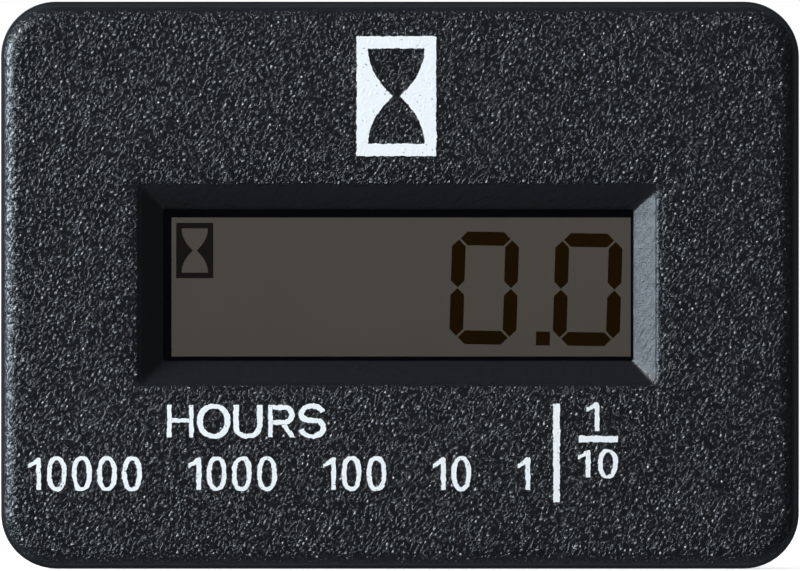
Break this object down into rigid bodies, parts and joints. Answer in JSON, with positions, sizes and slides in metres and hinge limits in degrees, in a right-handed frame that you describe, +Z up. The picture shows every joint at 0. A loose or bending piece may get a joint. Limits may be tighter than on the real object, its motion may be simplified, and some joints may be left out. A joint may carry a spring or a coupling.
{
  "type": "hour meter",
  "caption": "Panel-mounted hour meter: rounded black bezel with a bevelled window over a liquid-crystal display, gasket, sealed body, and a strap bracket that clamps it from behind.",
  "frame": {"origin": "the middle of the panel cut-out, on the plane where the gasket meets the front of the panel", "axes": "+X to the right of someone who reads the display, +Y away from them, out of the back and through the panel, +Z up"},
  "size_m": [0.0508, 0.0239, 0.0362],
  "materials": {
    "case_plastic": "moulded black plastic with a fine leather-like grain",
    "black_rubber": "plain black rubber",
    "clear_lens": "clear polished plastic window",
    "mask_black": "opaque black film",
    "polariser": "grey film",
    "display_glass": "clear glass",
    "display_reflector": "dull grey reflecting film",
    "holder_plastic": "moulded black plastic",
    "contact_rubber": "layered conductive rubber",
    "board_green": "green solder mask over glass laminate",
    "chip_epoxy": "moulded black epoxy",
    "tinned_metal": "tinned or nickel-plated metal",
    "sensor_shell": "sealed dark plastic can",
    "capacitor_tan": "tan ceramic",
    "resistor_black": "black ceramic",
    "cell_steel": "bright nickel-plated steel",
    "pad_foam": "soft grey foam",
    "zinc_steel": "zinc-plated steel",
    "white_ink": "flat white print"
  },
  "bodies": {
    "root": {"front_case": "case_plastic", "rear_cover": "case_plastic", "panel_gasket": "black_rubber", "lens_seal": "black_rubber", "cover_seal": "black_rubber", "window_lens": "clear_lens", "display_mask": "mask_black", "front_polariser": "polariser", "front_glass": "display_glass", "rear_glass": "display_glass", "rear_reflector": "display_reflector", "display_holder": "holder_plastic", "lower_contact_strip": "contact_rubber", "upper_contact_strip": "contact_rubber", "circuit_board": "board_green", "counter_chip": "chip_epoxy", "timing_crystal": "tinned_metal", "positive_strap": "tinned_metal", "negative_strap": "tinned_metal", "vibration_sensor": "sensor_shell", "capacitor_1": "capacitor_tan", "capacitor_2": "capacitor_tan", "capacitor_3": "capacitor_tan", "resistor_1": "resistor_black", "resistor_2": "resistor_black", "coin_cell": "cell_steel", "cell_pad": "pad_foam", "lower_left_screw": "zinc_steel", "upper_left_screw": "zinc_steel", "lower_right_screw": "zinc_steel", "upper_right_screw": "zinc_steel", "left_stud": "zinc_steel", "right_stud": "zinc_steel", "left_lock_washer": "zinc_steel", "right_lock_washer": "zinc_steel", "left_nut": "zinc_steel", "right_nut": "zinc_steel", "mounting_bracket": "zinc_steel", "printed_symbol": "white_ink", "printed_rule": "white_ink", "printed_fraction_line": "white_ink"}
  },
  "joints": []
}
